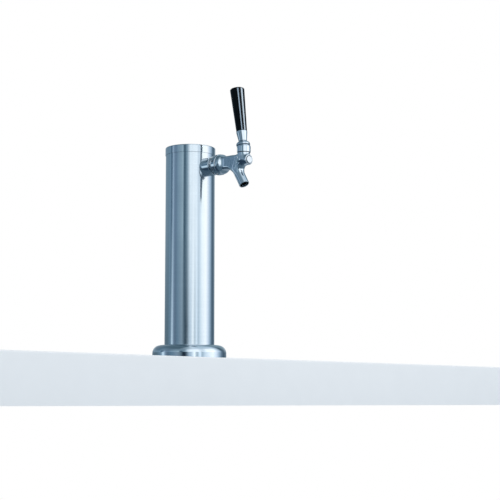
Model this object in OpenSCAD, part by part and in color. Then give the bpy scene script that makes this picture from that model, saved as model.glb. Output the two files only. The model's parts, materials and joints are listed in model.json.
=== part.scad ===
// Single-faucet beer tap tower: a stainless column on a bolted foot, a threaded shank through
// its wall, and a lever-operated faucet. +Z is up, the faucet points along -Y, and the origin
// is the centre of the foot on the counter.

/* [Column] */
// Outside diameter of the column tube
column_d = 76.2; // [76.2:0.1:77]
// Wall of the column tube
column_wall = 1.5; // [1.2:0.1:1.6]
// Height of the tower from the counter to the top of the cap
tower_h = 330; // [300:1:420]
// Height of the cap's skirt
cap_h = 12; // [10:0.5:16]

/* [Foot] */
// Outside diameter of the polished flange cover
cover_d = 113; // [112:0.5:118]
// Height of the flange cover
cover_h = 24; // [22:0.5:28]
// Radius of the cover's round shoulder
cover_shoulder_r = 12; // [10:0.5:13]
// Bolt circle diameter of the four mounting holes
bolt_circle_d = 90; // [89:0.5:91]
// Diameter of each mounting hole
bolt_hole_d = 5.6; // [4.5:0.1:6]

/* [Faucet] */
// Height of the faucet's axis above the counter
faucet_z = 296; // [260:1:296]
// Distance from the column's axis to the lever's pivot
pivot_x = 116.1; // [115.8:0.1:116.4]
// Height of the lever's pivot above the faucet's axis
pivot_z = 15; // [14.8:0.1:15.2]
// Backward lean of the closed lever, in degrees
lever_lean = 8.4; // [7:0.1:9]
// Angle of the spout from the vertical, in degrees
spout_angle = 31; // [30:0.5:32]
// Outside radius of the spout
spout_r = 7.7; // [7.5:0.1:7.9]

/* [Handle] */
// Length of the black grip
grip_len = 69; // [55:0.5:80]
// Radius of the grip at its lower end
grip_bottom_r = 8.1; // [7.8:0.1:8.3]
// Radius of the grip at its top
grip_top_r = 11; // [9:0.1:13]

/* [Hidden] */
$fn = 96;

// column and cap
column_r = column_d / 2;
column_in_r = column_r - column_wall;
gasket_t = 2;
plate_t = 4;
column_z0 = gasket_t + plate_t;
cap_top_t = 1.5;
column_z1 = tower_h - cap_top_t;
cap_r = column_r + 0.7;
cap_skirt_in_r = column_r + 0.1;
cap_edge_r = 1.4;
spigot_r = column_in_r - 1.6;
spigot_wall = 2;
cap_seal_r = 0.8;
cap_seal_z = tower_h - cap_h + 4;

// foot
plate_r = 52;
foot_opening_r = 35;
plate_collar_r = 40.3;
plate_collar_h = 6;
cover_r = cover_d / 2;
cover_wall = 1.5;
cover_bore_r = column_r + 0.4;
cover_lip_h = 3;
bolt_count = 4;

// insulation
foam_r = column_in_r - 0.2;
foam_wall = 10;
foam_z0 = 8;
foam_z1 = 262;

// stations along the faucet's axis, measured forward from the column's axis
shank_x0 = 14;
collar_x1 = 53.6;
shank_head_x0 = 62.6;
shank_x1 = 64.6;
shank_nut_x0 = 23;
shank_nut_x1 = 30.5;
washer_t = 1.2;
tail_x = shank_x1 + washer_t;
coupling_x0 = 60.5;
coupling_x1 = 68.6;
shoulder_x1 = 76.5;
seat_x = 83;
body_x1 = 127.2;
nose_cap_x1 = 128.4;

// radii of the shank and of what screws onto it
shank_r = 11.1;
shank_head_r = 13;
beer_bore_r = 3.2;
shank_hole_r = shank_r + 0.3;
collar_r = 14.4;
thread_gap = 0.05;
coupling_r = 15.8;
spanner_hole_r = 1.9;
spanner_hole_count = 8;
spanner_hole_turn = 30;

// faucet body
tail_thread_r = 14.25;
shoulder_r = 15.1;
tail_neck_r = 10;
barrel_r = 9.65;
web_half_w = 7.2;
boss_r = 9.3;
boss_z = 12;
neck_r = 8.6;
neck_z1 = 18;
cavity_r = 7;
cavity_z0 = 9;
finger_hole_r = 4.9;
inlet_chamber_r = 7.5;
valve_bore_r = 5;
nose_r = 7.8;
nose_thread_r = 5.5;
rear_arc_r = 15;
front_fillet_r = 6;

// spout: its axis meets the barrel's axis at spout_root_x and runs down and forward
spout_root_x = 95.4;
spout_len = 42.4;
outlet_r = 6.5;
outlet_len = 16;
spout_dir = [sin(spout_angle), -cos(spout_angle)];
spout_normal = [cos(spout_angle), sin(spout_angle)];
mouth = [spout_root_x, 0] + spout_len * spout_dir;

// bonnet and the seats of the lever's ball, heights above the pivot
ball_r = 5.5;
seat_gap = 0.03;
bonnet_r = 10.3;
bonnet_dome_r = 12.15;
bonnet_hole_r = 6.6;
bonnet_shoulder_h = 5.5;
bonnet_spanner_r = 1.9;
bonnet_spanner_turn = 32;
ring_r = cavity_r - 0.05;
ring_hole_r = 5;

// valve shaft
shaft_r = 2.5;
guide_r = valve_bore_r - 0.15;
guide_len = 8.4;
guide_half_h = 2.6;
finger_len = 15;
finger_r = 1.4;
finger_root_len = 7.5;
finger_root_r = 2.1;
finger_tip_r = 2.5;
finger_slot = 5.2;
tip_x = pivot_x + finger_len * sin(lever_lean);
seat_washer_t = 2.4;
shaft_nut_t = 3.2;

// lever and handle, heights along the lever from its pivot
lever_neck_r = 2.8;
lever_thread_r = 4.76;
lever_thread_z0 = 12.2;
lever_thread_z1 = 24;
skirt_in_r = 12.5;
skirt_r = 10.5;
skirt_z1 = 14.3;
ferrule_z0 = 14.6;
ferrule_z1 = 30;
ferrule_bottom_r = 6.2;
ferrule_top_r = 8.3;
grip_z1 = ferrule_z1 + grip_len;
stud_z1 = ferrule_z1 + 16;

// beer line behind the shank
tail_washer_t = 1.5;
tail_nut_x1 = 21;
tail_nut_lip = 2.5;
elbow_flange_t = 2;
elbow_flange_r = 9.5;
elbow_flange_x0 = shank_x0 - tail_washer_t - elbow_flange_t;
elbow_bore_r = 2.6;
elbow_bend_r = 8;
elbow_tube_r = 5.2;
elbow_x = -2;
line_r = 3.175;
line_x = elbow_x - elbow_bend_r;
line_top_z = faucet_z - 14;
elbow_leg_z = -26;
stem_r = 4.76;
stem_z0 = 5;
stem_z1 = 27;

// ---- helpers -------------------------------------------------------------------------------

// Points of an arc about c, from angle a0 to a1
function arc(c, r, a0, a1, steps = 8) =
    [for (i = [0:steps]) c + r * [cos(a0 + (a1 - a0) * i / steps), sin(a0 + (a1 - a0) * i / steps)]];

// Local X runs forward along the faucet's axis, local Z stays up
module faucet_frame() {
    translate([0, 0, faucet_z]) rotate([0, 0, -90]) children();
}

// Local Z runs up the closed lever from its pivot
module lever_frame() {
    faucet_frame() translate([pivot_x, 0, pivot_z]) rotate([0, -lever_lean, 0]) children();
}

// A rod along X
module rod(x0, x1, r) {
    translate([x0, 0, 0]) rotate([0, 90, 0]) cylinder(h = x1 - x0, r = r);
}

// A hexagonal bar along X
module hex_rod(x0, x1, across_flats) {
    translate([x0, 0, 0]) rotate([0, 90, 0])
        cylinder(h = x1 - x0, d = across_flats / cos(30), $fn = 6);
}

// A turned piece about X: each point is [radius, x]
module turned(profile) {
    rotate([0, 90, 0]) rotate_extrude() polygon(profile);
}

// An upright ring
module ring(z0, z1, r_in, r_out) {
    difference() {
        translate([0, 0, z0]) cylinder(h = z1 - z0, r = r_out);
        translate([0, 0, z0 - 1]) cylinder(h = z1 - z0 + 2, r = r_in);
    }
}

// The four mounting holes, on the diagonals
module bolt_holes() {
    for (i = [0:bolt_count - 1])
        rotate([0, 0, 45 + i * 360 / bolt_count])
            translate([bolt_circle_d / 2, 0, -1]) cylinder(h = column_z0 + 2, d = bolt_hole_d);
}

// ---- foot ----------------------------------------------------------------------------------

module base_gasket() {
    color("#1c1c1e") difference() {
        ring(0, gasket_t, foot_opening_r + 1, plate_r);
        bolt_holes();
    }
}

module base_plate() {
    color("#9aa0a6") difference() {
        union() {
            ring(gasket_t, column_z0, foot_opening_r, plate_r);
            ring(column_z0, column_z0 + plate_collar_h, column_r + thread_gap, plate_collar_r);
        }
        bolt_holes();
    }
}

// A spun dome with a lip turned down against the column
module flange_cover() {
    shoulder = [cover_r - cover_shoulder_r, cover_h - cover_shoulder_r];
    lip_out_r = cover_bore_r + 1.2;
    color("#c9ced4") rotate_extrude() polygon(concat(
        [[cover_r, 0]],
        arc(shoulder, cover_shoulder_r, 0, 90, 12),
        [[cover_bore_r + 0.8, cover_h], [cover_bore_r, cover_h - 0.8],
         [cover_bore_r, cover_h - cover_lip_h], [lip_out_r, cover_h - cover_lip_h],
         [lip_out_r, cover_h - cover_wall]],
        arc(shoulder, cover_shoulder_r - cover_wall, 90, 0, 12),
        [[cover_r - cover_wall, 0]]
    ));
}

// ---- column --------------------------------------------------------------------------------

module column_tube() {
    color("#aab0b7") difference() {
        ring(column_z0, column_z1, column_in_r, column_r);
        faucet_frame() rod(0, column_r + 5, shank_hole_r);
    }
}

module column_cap() {
    edge = [cap_r - cap_edge_r, tower_h - cap_edge_r];
    skirt_z = tower_h - cap_h;
    color("#b4b9bf") rotate_extrude() polygon(concat(
        [[0, tower_h]],
        arc(edge, cap_edge_r, 90, 0, 5),
        [[cap_r, skirt_z], [cap_skirt_in_r, skirt_z], [cap_skirt_in_r, column_z1],
         [spigot_r, column_z1],
         [spigot_r, cap_seal_z + cap_seal_r], [spigot_r - 0.9, cap_seal_z + cap_seal_r],
         [spigot_r - 0.9, cap_seal_z - cap_seal_r], [spigot_r, cap_seal_z - cap_seal_r],
         [spigot_r, skirt_z], [spigot_r - spigot_wall, skirt_z],
         [spigot_r - spigot_wall, column_z1], [0, column_z1]]
    ));
}

// The O-ring that grips the inside of the column
module cap_seal() {
    color("#1c1c1e") translate([0, 0, cap_seal_z])
        rotate_extrude() translate([column_in_r - cap_seal_r - 0.02, 0]) circle(r = cap_seal_r - 0.02);
}

module insulation_sleeve() {
    color("#2b2d30") ring(foam_z0, foam_z1, foam_r - foam_wall, foam_r);
}

// ---- shank ---------------------------------------------------------------------------------

module shank() {
    color("#b9a469") faucet_frame() difference() {
        union() {
            rod(shank_x0, shank_head_x0, shank_r);
            rod(shank_head_x0, shank_x1, shank_head_r);
        }
        rod(shank_x0 - 1, shank_x1 + 1, beer_bore_r);
    }
}

// The chrome spacer outside the column, its back cut to the column's curve
module shank_collar() {
    chamfer = 0.7;
    color("#c9ced4") faucet_frame() difference() {
        turned([[0, 25], [collar_r, 25], [collar_r, collar_x1 - chamfer],
                [collar_r - chamfer, collar_x1], [0, collar_x1]]);
        rod(0, shank_x1, shank_hole_r);
        cylinder(h = 80, r = column_r + 0.05, center = true);
    }
}

// The nylon block inside the column, flat for the nut and curved for the wall
module shank_saddle() {
    color("#e8e6df") faucet_frame() difference() {
        intersection() {
            rod(shank_nut_x1, 40, collar_r);
            cylinder(h = 60, r = column_in_r - 0.05, center = true);
        }
        rod(0, shank_x1, shank_hole_r);
    }
}

module shank_nut() {
    color("#b9a469") faucet_frame() difference() {
        hex_rod(shank_nut_x0, shank_nut_x1, 30);
        rod(shank_nut_x0 - 1, shank_nut_x1 + 1, shank_r + thread_gap);
    }
}

// ---- beer line -----------------------------------------------------------------------------

module tail_washer() {
    color("#1c1c1e") faucet_frame() difference() {
        rod(shank_x0 - tail_washer_t, shank_x0, elbow_flange_r);
        rod(shank_x0 - tail_washer_t - 1, shank_x0 + 1, beer_bore_r);
    }
}

module tail_nut() {
    color("#b9a469") faucet_frame() difference() {
        hex_rod(elbow_flange_x0 - tail_nut_lip, tail_nut_x1, 27);
        rod(elbow_flange_x0, tail_nut_x1 + 1, shank_r + thread_gap);
        rod(elbow_flange_x0 - tail_nut_lip - 1, tail_nut_x1, elbow_tube_r + 0.3);
    }
}

// The bend from the shank down into the riser
module elbow_bend(r) {
    translate([elbow_x, 0, -elbow_bend_r]) rotate([90, 0, 0]) rotate([0, 0, 90])
        rotate_extrude(angle = 90) translate([elbow_bend_r, 0]) circle(r = r);
}

module tail_elbow() {
    socket_z = line_top_z - faucet_z;
    color("#c9ced4") faucet_frame() difference() {
        union() {
            rod(elbow_flange_x0, shank_x0 - tail_washer_t, elbow_flange_r);
            rod(elbow_x, elbow_flange_x0 + 1, elbow_tube_r);
            elbow_bend(elbow_tube_r);
            translate([line_x, 0, elbow_leg_z])
                cylinder(h = -elbow_bend_r - elbow_leg_z, r = elbow_tube_r);
        }
        rod(elbow_x, shank_x0 + 1, elbow_bore_r);
        elbow_bend(elbow_bore_r);
        translate([line_x, 0, elbow_leg_z - 1])
            cylinder(h = -elbow_bend_r - elbow_leg_z + 1, r = elbow_bore_r);
        translate([line_x, 0, elbow_leg_z - 1])
            cylinder(h = socket_z - elbow_leg_z + 1, r = line_r + thread_gap);
    }
}

module beer_line() {
    color("#b4b9bf") translate([0, -line_x, 0])
        ring(stem_z0 + 6, line_top_z, line_r - 0.9, line_r);
}

// The plain end that takes a push-fit coupler from the keg's hose
module inlet_stem() {
    color("#c9ced4") translate([0, -line_x, 0]) difference() {
        translate([0, 0, stem_z0]) cylinder(h = stem_z1 - stem_z0, r = stem_r);
        translate([0, 0, stem_z0 - 1]) cylinder(h = 8, r = line_r - 0.9);
        translate([0, 0, stem_z0 + 6]) cylinder(h = stem_z1, r = line_r + thread_gap);
    }
}

// ---- coupling ------------------------------------------------------------------------------

// The nut slides on the shank behind its head and screws onto the faucet's tail
module coupling_nut() {
    chamfer = 0.8;
    color("#c9ced4") faucet_frame() difference() {
        turned([[0, coupling_x0], [coupling_r - chamfer, coupling_x0],
                [coupling_r, coupling_x0 + chamfer], [coupling_r, coupling_x1 - chamfer / 2],
                [coupling_r - chamfer / 2, coupling_x1], [0, coupling_x1]]);
        rod(coupling_x0 - 1, coupling_x1 + 1, shank_hole_r);
        rod(shank_head_x0, coupling_x1 + 1, tail_thread_r + thread_gap);
        for (i = [0:spanner_hole_count - 1])
            rotate([spanner_hole_turn + i * 360 / spanner_hole_count, 0, 0])
                translate([(coupling_x0 + coupling_x1) / 2, 0, coupling_r - 1])
                    cylinder(h = 3, r = spanner_hole_r, $fn = 24);
    }
}

module coupling_washer() {
    color("#1c1c1e") faucet_frame() difference() {
        rod(shank_x1, tail_x, shank_head_r);
        rod(shank_x1 - 1, tail_x + 1, valve_bore_r);
    }
}

// ---- faucet body ---------------------------------------------------------------------------

// The outline of the flat web under the barrel, as [forward, up]: the hollow underside runs
// into the spout's back, and a small fillet joins the spout's front to the nose
module web_outline() {
    tip = mouth - 2.5 * spout_dir;
    half_t = spout_r - 1.5;
    nose_z = 0.6 - nose_r;
    back = [spout_root_x, 0] - (spout_r - 0.9) * spout_normal;
    back_corner_x = back[0] + (back[1] + barrel_r) * tan(spout_angle);
    arc_x = back_corner_x - rear_arc_r * tan(45 - spout_angle / 2);
    front = [spout_root_x, 0] + (spout_r - 0.3) * spout_normal;
    front_corner_x = front[0] + (front[1] - nose_z) * tan(spout_angle);
    fillet_x = front_corner_x + front_fillet_r * tan(45 + spout_angle / 2);
    polygon(concat(
        [[arc_x - 2, 0], [arc_x - 2, 0.4 - barrel_r]],
        arc([arc_x, -barrel_r - rear_arc_r], rear_arc_r, 90, spout_angle, 10),
        [tip - half_t * spout_normal, tip + half_t * spout_normal],
        arc([fillet_x, nose_z - front_fillet_r], front_fillet_r, 180 + spout_angle, 90, 8),
        [[fillet_x, 0]]
    ));
}

// Along the spout's axis, from one distance below the barrel's axis to another
module spout_rod(t0, t1, r) {
    translate([spout_root_x, 0, 0]) rotate([0, 180 - spout_angle, 0])
        translate([0, 0, t0]) cylinder(h = t1 - t0, r = r);
}

// The domed shoulder in front of the coupling nut
module tail_shoulder() {
    x0 = coupling_x1 + 0.2;
    turned(concat(
        [[0, x0], [shoulder_r, x0], [shoulder_r, x0 + 0.8]],
        [for (i = [1:7]) [tail_neck_r + (shoulder_r - tail_neck_r) * cos(i * 90 / 7),
                          x0 + 0.8 + (shoulder_x1 - x0 - 0.8) * sin(i * 90 / 7)]],
        [[0, shoulder_x1]]
    ));
}

module faucet_body() {
    color("#c2c8ce") faucet_frame() difference() {
        union() {
            rod(tail_x, coupling_x1 + 1, tail_thread_r);
            tail_shoulder();
            rod(coupling_x1, pivot_x, barrel_r);
            rod(pivot_x - 2, body_x1, nose_r);
            translate([pivot_x, 0, 0]) cylinder(h = boss_z, r = boss_r);
            translate([pivot_x, 0, 0]) cylinder(h = neck_z1, r = neck_r);
            spout_rod(4, spout_len, spout_r);
            rotate([90, 0, 0]) linear_extrude(height = 2 * web_half_w, center = true)
                web_outline();
        }
        rod(tail_x - 1, seat_x, inlet_chamber_r);
        rod(tail_x, body_x1 - 3, valve_bore_r);
        rod(body_x1 - 3.5, body_x1 + 1, nose_thread_r);
        translate([pivot_x, 0, 0]) cylinder(h = neck_z1, r = finger_hole_r);
        translate([pivot_x, 0, cavity_z0]) cylinder(h = neck_z1, r = cavity_r);
        spout_rod(0, spout_len, valve_bore_r);
        spout_rod(spout_len - outlet_len, spout_len + 2, outlet_r);
    }
}

module nose_cap() {
    head_r = nose_thread_r + 0.2;
    color("#d3d7dc") faucet_frame() turned(concat(
        [[0, body_x1 - 3], [nose_thread_r - thread_gap, body_x1 - 3],
         [nose_thread_r - thread_gap, body_x1], [head_r, body_x1], [head_r, body_x1 + 1.2]],
        [for (i = [1:5]) [head_r * cos(i * 18), body_x1 + 1.2
            + (nose_cap_x1 - body_x1 - 1.2) * sin(i * 18)]]
    ));
}

// ---- bonnet and ball seats -----------------------------------------------------------------

module pivot_frame() {
    faucet_frame() translate([pivot_x, 0, pivot_z]) children();
}

module bonnet() {
    skirt_z = boss_z - pivot_z + 0.2;
    dome_z = sqrt(bonnet_dome_r * bonnet_dome_r - bonnet_r * bonnet_r);
    color("#cdd2d7") pivot_frame() difference() {
        intersection() {
            translate([0, 0, skirt_z]) cylinder(h = 20, r = bonnet_r);
            sphere(r = bonnet_dome_r);
        }
        translate([0, 0, skirt_z - 1])
            cylinder(h = bonnet_shoulder_h - skirt_z + 1, r = neck_r + thread_gap);
        cylinder(h = 20, r = bonnet_hole_r);
        for (side = [0, 180])
            rotate([0, 0, bonnet_spanner_turn + side])
                translate([bonnet_r - 1, 0, (skirt_z + dome_z) / 2])
                    rotate([0, 90, 0]) cylinder(h = 3, r = bonnet_spanner_r, $fn = 24);
    }
}

// The O-ring under the bonnet, round the body's threaded neck
module bonnet_seal() {
    color("#1c1c1e") pivot_frame()
        ring(boss_z - pivot_z, boss_z - pivot_z + 0.2, neck_r + 0.1, bonnet_r - 0.5);
}

module friction_ring() {
    color("#e8e6df") pivot_frame() difference() {
        translate([0, 0, 0.4]) cylinder(h = bonnet_shoulder_h - 0.4, r = ring_r);
        sphere(r = ball_r + seat_gap);
        cylinder(h = 20, r = ring_hole_r);
    }
}

module ball_washer() {
    washer_h = pivot_z - cavity_z0;
    color("#1c1c1e") pivot_frame() difference() {
        translate([0, 0, -washer_h]) cylinder(h = washer_h - 0.4, r = ring_r);
        sphere(r = ball_r + seat_gap);
        translate([0, 0, -20]) cylinder(h = 20, r = finger_hole_r - 0.3);
    }
}

// ---- valve ---------------------------------------------------------------------------------

// The guide rides in the body's bore, and its slot takes the tip of the lever's finger
module valve_shaft() {
    color("#b4b9bf") faucet_frame() difference() {
        union() {
            rod(seat_x - seat_washer_t - shaft_nut_t - 1, tip_x - guide_len / 2 + 0.5, shaft_r);
            intersection() {
                rod(tip_x - guide_len / 2, tip_x + guide_len / 2, guide_r);
                translate([tip_x, 0, 0])
                    cube([2 * guide_len, 4 * guide_r, 2 * guide_half_h], center = true);
            }
        }
        translate([tip_x, 0, 0]) cube([finger_slot, finger_slot, 4 * guide_half_h], center = true);
    }
}

module seat_washer() {
    color("#1c1c1e") faucet_frame() difference() {
        rod(seat_x - seat_washer_t, seat_x, 6.4);
        rod(seat_x - seat_washer_t - 1, seat_x + 1, shaft_r + 0.02);
    }
}

module shaft_nut() {
    x1 = seat_x - seat_washer_t;
    color("#b9a469") faucet_frame() difference() {
        hex_rod(x1 - shaft_nut_t, x1, 9);
        rod(x1 - shaft_nut_t - 1, x1 + 1, shaft_r + 0.02);
    }
}

// ---- lever and handle ----------------------------------------------------------------------

module lever() {
    color("#c2c8ce") lever_frame() {
        sphere(r = ball_r);
        cylinder(h = lever_thread_z0, r = lever_neck_r);
        translate([0, 0, lever_thread_z0])
            cylinder(h = lever_thread_z1 - lever_thread_z0, r = lever_thread_r);
        translate([0, 0, -finger_len]) cylinder(h = finger_len, r = finger_r);
        translate([0, 0, -finger_root_len]) cylinder(h = finger_root_len, r = finger_root_r);
        translate([0, 0, -finger_len]) sphere(r = finger_tip_r);
    }
}

// A flared skirt that stays concentric with the pivot, so it clears the bonnet at every angle
module lever_collar() {
    rim_in_r = 9.8;
    rim_z = sqrt(skirt_in_r * skirt_in_r - rim_in_r * rim_in_r);
    bore_r = lever_thread_r + thread_gap;
    bore_a = asin(bore_r / skirt_in_r);
    rim_a = asin(rim_in_r / skirt_in_r);
    color("#d3d7dc") lever_frame() rotate_extrude() polygon(concat(
        [for (i = [0:6]) let (a = bore_a + (rim_a - bore_a) * i / 6)
            [skirt_in_r * sin(a), skirt_in_r * cos(a)]],
        [[skirt_r, rim_z - 0.4], [skirt_r, rim_z + 1]],
        [for (i = [0:5]) [ferrule_bottom_r + 0.1 + (skirt_r - ferrule_bottom_r - 0.5) * cos(i * 18),
                          rim_z + 1.6 + (skirt_z1 - rim_z - 1.6) * sin(i * 18)]],
        [[bore_r, skirt_z1]]
    ));
}

module handle_ferrule() {
    rim = 0.5;
    color("#d3d7dc") lever_frame() difference() {
        rotate_extrude() polygon([
            [0, ferrule_z0], [ferrule_bottom_r - rim, ferrule_z0],
            [ferrule_bottom_r, ferrule_z0 + rim], [ferrule_top_r, ferrule_z1 - 1.5],
            [ferrule_top_r, ferrule_z1 - rim], [ferrule_top_r - rim, ferrule_z1],
            [0, ferrule_z1]
        ]);
        translate([0, 0, ferrule_z0 - 1]) cylinder(h = 20, r = lever_thread_r + thread_gap);
    }
}

module handle_stud() {
    color("#b9a469") lever_frame() translate([0, 0, lever_thread_z1 + 0.3])
        cylinder(h = stud_z1 - lever_thread_z1 - 0.8, r = lever_thread_r);
}

module tap_handle() {
    round_r = 2.4;
    crown = 1.2;
    crown_r = grip_top_r - round_r;
    color("#101114") lever_frame() difference() {
        rotate_extrude() polygon(concat(
            [[0, ferrule_z1], [grip_bottom_r, ferrule_z1]],
            arc([crown_r, grip_z1 - round_r - crown], round_r, 0, 75, 5),
            [for (i = [1:4]) [crown_r * (1 - i / 4), grip_z1 - crown + crown * sin(i * 22.5)]]
        ));
        translate([0, 0, ferrule_z1 - 1])
            cylinder(h = stud_z1 - ferrule_z1 + 1, r = lever_thread_r + thread_gap);
    }
}

// ---- one node at a time --------------------------------------------------------------------

base_gasket();
base_plate();
flange_cover();
column_tube();
column_cap();
cap_seal();
insulation_sleeve();
shank();
shank_collar();
shank_saddle();
shank_nut();
tail_washer();
tail_nut();
tail_elbow();
beer_line();
inlet_stem();
coupling_nut();
coupling_washer();
faucet_body();
nose_cap();
bonnet();
bonnet_seal();
friction_ring();
ball_washer();
valve_shaft();
seat_washer();
shaft_nut();
lever();
lever_collar();
handle_ferrule();
handle_stud();
tap_handle();
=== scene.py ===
# The beer tap tower's looks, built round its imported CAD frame. Lengths are in millimetres until a
# mesh is made, +Z is up, and the faucet points along -Y. "s" is the distance forward from the
# column's axis, "w" is sideways and "h" is the height above the faucet's axis.
import json
import math

import bpy
import numpy as np
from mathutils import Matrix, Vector


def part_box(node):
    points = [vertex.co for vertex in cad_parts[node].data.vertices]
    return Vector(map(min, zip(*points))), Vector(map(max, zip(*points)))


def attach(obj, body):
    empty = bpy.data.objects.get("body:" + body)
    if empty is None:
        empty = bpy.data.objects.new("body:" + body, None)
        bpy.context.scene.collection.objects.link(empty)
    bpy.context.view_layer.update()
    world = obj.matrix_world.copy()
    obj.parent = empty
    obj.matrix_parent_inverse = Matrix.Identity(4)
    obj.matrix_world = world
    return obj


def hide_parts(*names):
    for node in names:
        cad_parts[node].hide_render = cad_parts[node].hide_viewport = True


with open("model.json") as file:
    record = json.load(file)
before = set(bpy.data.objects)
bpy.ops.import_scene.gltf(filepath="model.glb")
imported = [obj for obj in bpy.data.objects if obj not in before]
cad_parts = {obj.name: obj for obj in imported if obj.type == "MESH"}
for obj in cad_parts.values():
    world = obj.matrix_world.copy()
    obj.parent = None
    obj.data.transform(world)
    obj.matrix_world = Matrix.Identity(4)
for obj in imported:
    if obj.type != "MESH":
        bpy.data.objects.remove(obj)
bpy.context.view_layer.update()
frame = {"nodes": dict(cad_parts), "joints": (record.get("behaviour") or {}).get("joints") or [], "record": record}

MM = 0.001


def extent(node):
    """A CAD node's lowest and highest corner."""
    lo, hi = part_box(node)
    return np.array(lo) / MM, np.array(hi) / MM


def reach(node):
    """How far forward of the column's axis a CAD node starts and ends."""
    lo, hi = extent(node)
    return -hi[1], -lo[1]


# ---- sizes read from the frame ---------------------------------------------------------------

TUBE_LO, TUBE_HI = extent("column_tube")
CAP_LO, CAP_HI = extent("column_cap")
COVER_HI = extent("flange_cover")[1]
PLATE_LO, PLATE_HI = extent("base_plate")
SHANK_LO, SHANK_HI = extent("shank")
COLLAR_LO, COLLAR_HI = extent("shank_collar")
NUT_HI = extent("coupling_nut")[1]
BONNET_LO, BONNET_HI = extent("bonnet")

COLUMN_R = TUBE_HI[0]
TUBE_WALL = 1.5
TUBE_IN_R = COLUMN_R - TUBE_WALL
FAUCET_Z = (SHANK_LO[2] + SHANK_HI[2]) / 2
NUT_R = NUT_HI[0]
BONNET_R = BONNET_HI[0]

PIVOT = np.array(next(j for j in frame["joints"] if j["name"] == "lever_pivot")["pos_m"]) / MM
PIVOT_S = -PIVOT[1]
LEVER_LEAN = math.radians(8.4)

SPOUT = next(m for m in frame["record"]["mounts"] if m["name"] == "spout")
SPOUT_DIR = np.array([-SPOUT["axis"][1], SPOUT["axis"][2]])

# ---- places: an origin and the directions of a piece's own three axes ------------------------

UPRIGHT = (np.zeros(3), np.eye(3))
FORWARD = (np.array([0, 0, FAUCET_Z]), np.array([[1, 0, 0], [0, 0, 1], [0, -1, 0]]))
FAUCET = (np.array([0, 0, FAUCET_Z]), np.array([[0, -1, 0], [1, 0, 0], [0, 0, 1]]))
AT_PIVOT = (PIVOT, np.eye(3))
LEVER = (PIVOT, np.array([[1, 0, 0],
                          [0, math.cos(LEVER_LEAN), -math.sin(LEVER_LEAN)],
                          [0, math.sin(LEVER_LEAN), math.cos(LEVER_LEAN)]]))

# ---- turned pieces ---------------------------------------------------------------------------

ARC_STEP = math.radians(9)


def arc(centre, radius, start, stop):
    """A round stretch of an outline, in degrees: counterclockwise where it bulges out of the metal."""
    a0, a1 = math.radians(start), math.radians(stop)
    count = max(4, math.ceil(abs(a1 - a0) / ARC_STEP))
    side = 1 if a1 > a0 else -1
    token = object()
    stretch = []
    for a in np.linspace(a0, a1, count + 1):
        out = np.array([math.cos(a), math.sin(a)])
        stretch.append((np.array(centre) + radius * out, token, side * out))
    return stretch


def fillet(before, corner, after, radius):
    """The arc that rounds a corner of an outline."""
    u, v = before - corner, after - corner
    u, v = u / np.linalg.norm(u), v / np.linalg.norm(v)
    half = math.acos(np.clip(u @ v, -1, 1)) / 2
    centre = corner + (u + v) / np.linalg.norm(u + v) * radius / math.sin(half)
    first, last = (corner + side * radius / math.tan(half) - centre for side in (u, v))
    start = math.degrees(math.atan2(first[1], first[0]))
    turn = math.degrees(math.atan2(last[1], last[0])) - start
    return arc(centre, radius, start, start + (turn + 180) % 360 - 180)


def outline(*items):
    """An outline's points, counterclockwise as (radius, height): corners with an optional fillet
    radius as the third number, and arcs."""
    ends = [(np.array(i[:2], float),) * 2 if isinstance(i, tuple) else (i[0][0], i[-1][0])
            for i in items]
    points = []
    for k, item in enumerate(items):
        if isinstance(item, list):
            points += item
        elif len(item) == 3:
            after = ends[(k + 1) % len(items)][0]
            points += fillet(ends[k - 1][1], ends[k][0], after, item[2])
        else:
            points.append((ends[k][0], None, None))
    return points


def mesh_piece(name, verts, faces, corner_normals=None, vertex_normals=None, place=UPRIGHT):
    """A mesh object from points in a place's own axes, with exact normals where they are known."""
    origin, axes = place
    mesh = bpy.data.meshes.new(name)
    mesh.from_pydata((origin + np.asarray(verts) @ axes) * MM, [], faces)
    mesh.shade_smooth()
    if corner_normals is not None:
        mesh.normals_split_custom_set(np.asarray(corner_normals) @ axes)
    elif vertex_normals is not None:
        mesh.normals_split_custom_set_from_vertices(np.asarray(vertex_normals) @ axes)
    piece = bpy.data.objects.new(name, mesh)
    bpy.context.scene.collection.objects.link(piece)
    return piece


def lathe(name, points, place=UPRIGHT, steps=160):
    """Spins an outline round the place's third axis."""
    angles = np.linspace(0, 2 * math.pi, steps, endpoint=False)
    around = np.stack([np.cos(angles), np.sin(angles)], 1)
    verts, rings = [], []
    for p, _, _ in points:
        on_axis = p[0] < 1e-6
        spots = np.zeros((1, 2)) if on_axis else around * p[0]
        rings.append((len(verts), on_axis))
        verts += [[x, y, p[1]] for x, y in spots]
    faces, normals = [], []
    for k, (a, arc_a, normal_a) in enumerate(points):
        b, arc_b, normal_b = points[(k + 1) % len(points)]
        (first_a, pole_a), (first_b, pole_b) = rings[k], rings[(k + 1) % len(points)]
        run = b - a
        if (pole_a and pole_b) or np.linalg.norm(run) < 1e-6:
            continue
        if arc_a is None or arc_a is not arc_b:
            normal_a = normal_b = np.array([run[1], -run[0]]) / np.linalg.norm(run)
        out_a, out_b = ([[*(around[j] * n[0]), n[1]] for j in range(steps)]
                        for n in (normal_a, normal_b))
        for j in range(steps):
            i = (j + 1) % steps
            if pole_a:
                faces.append((first_a, first_b + i, first_b + j))
                normals += [out_a[j], out_b[i], out_b[j]]
            elif pole_b:
                faces.append((first_a + j, first_a + i, first_b))
                normals += [out_a[j], out_a[i], out_b[j]]
            else:
                faces.append((first_a + j, first_a + i, first_b + i, first_b + j))
                normals += [out_a[j], out_a[i], out_b[i], out_b[j]]
    return mesh_piece(name, verts, faces, corner_normals=normals, place=place)


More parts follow.
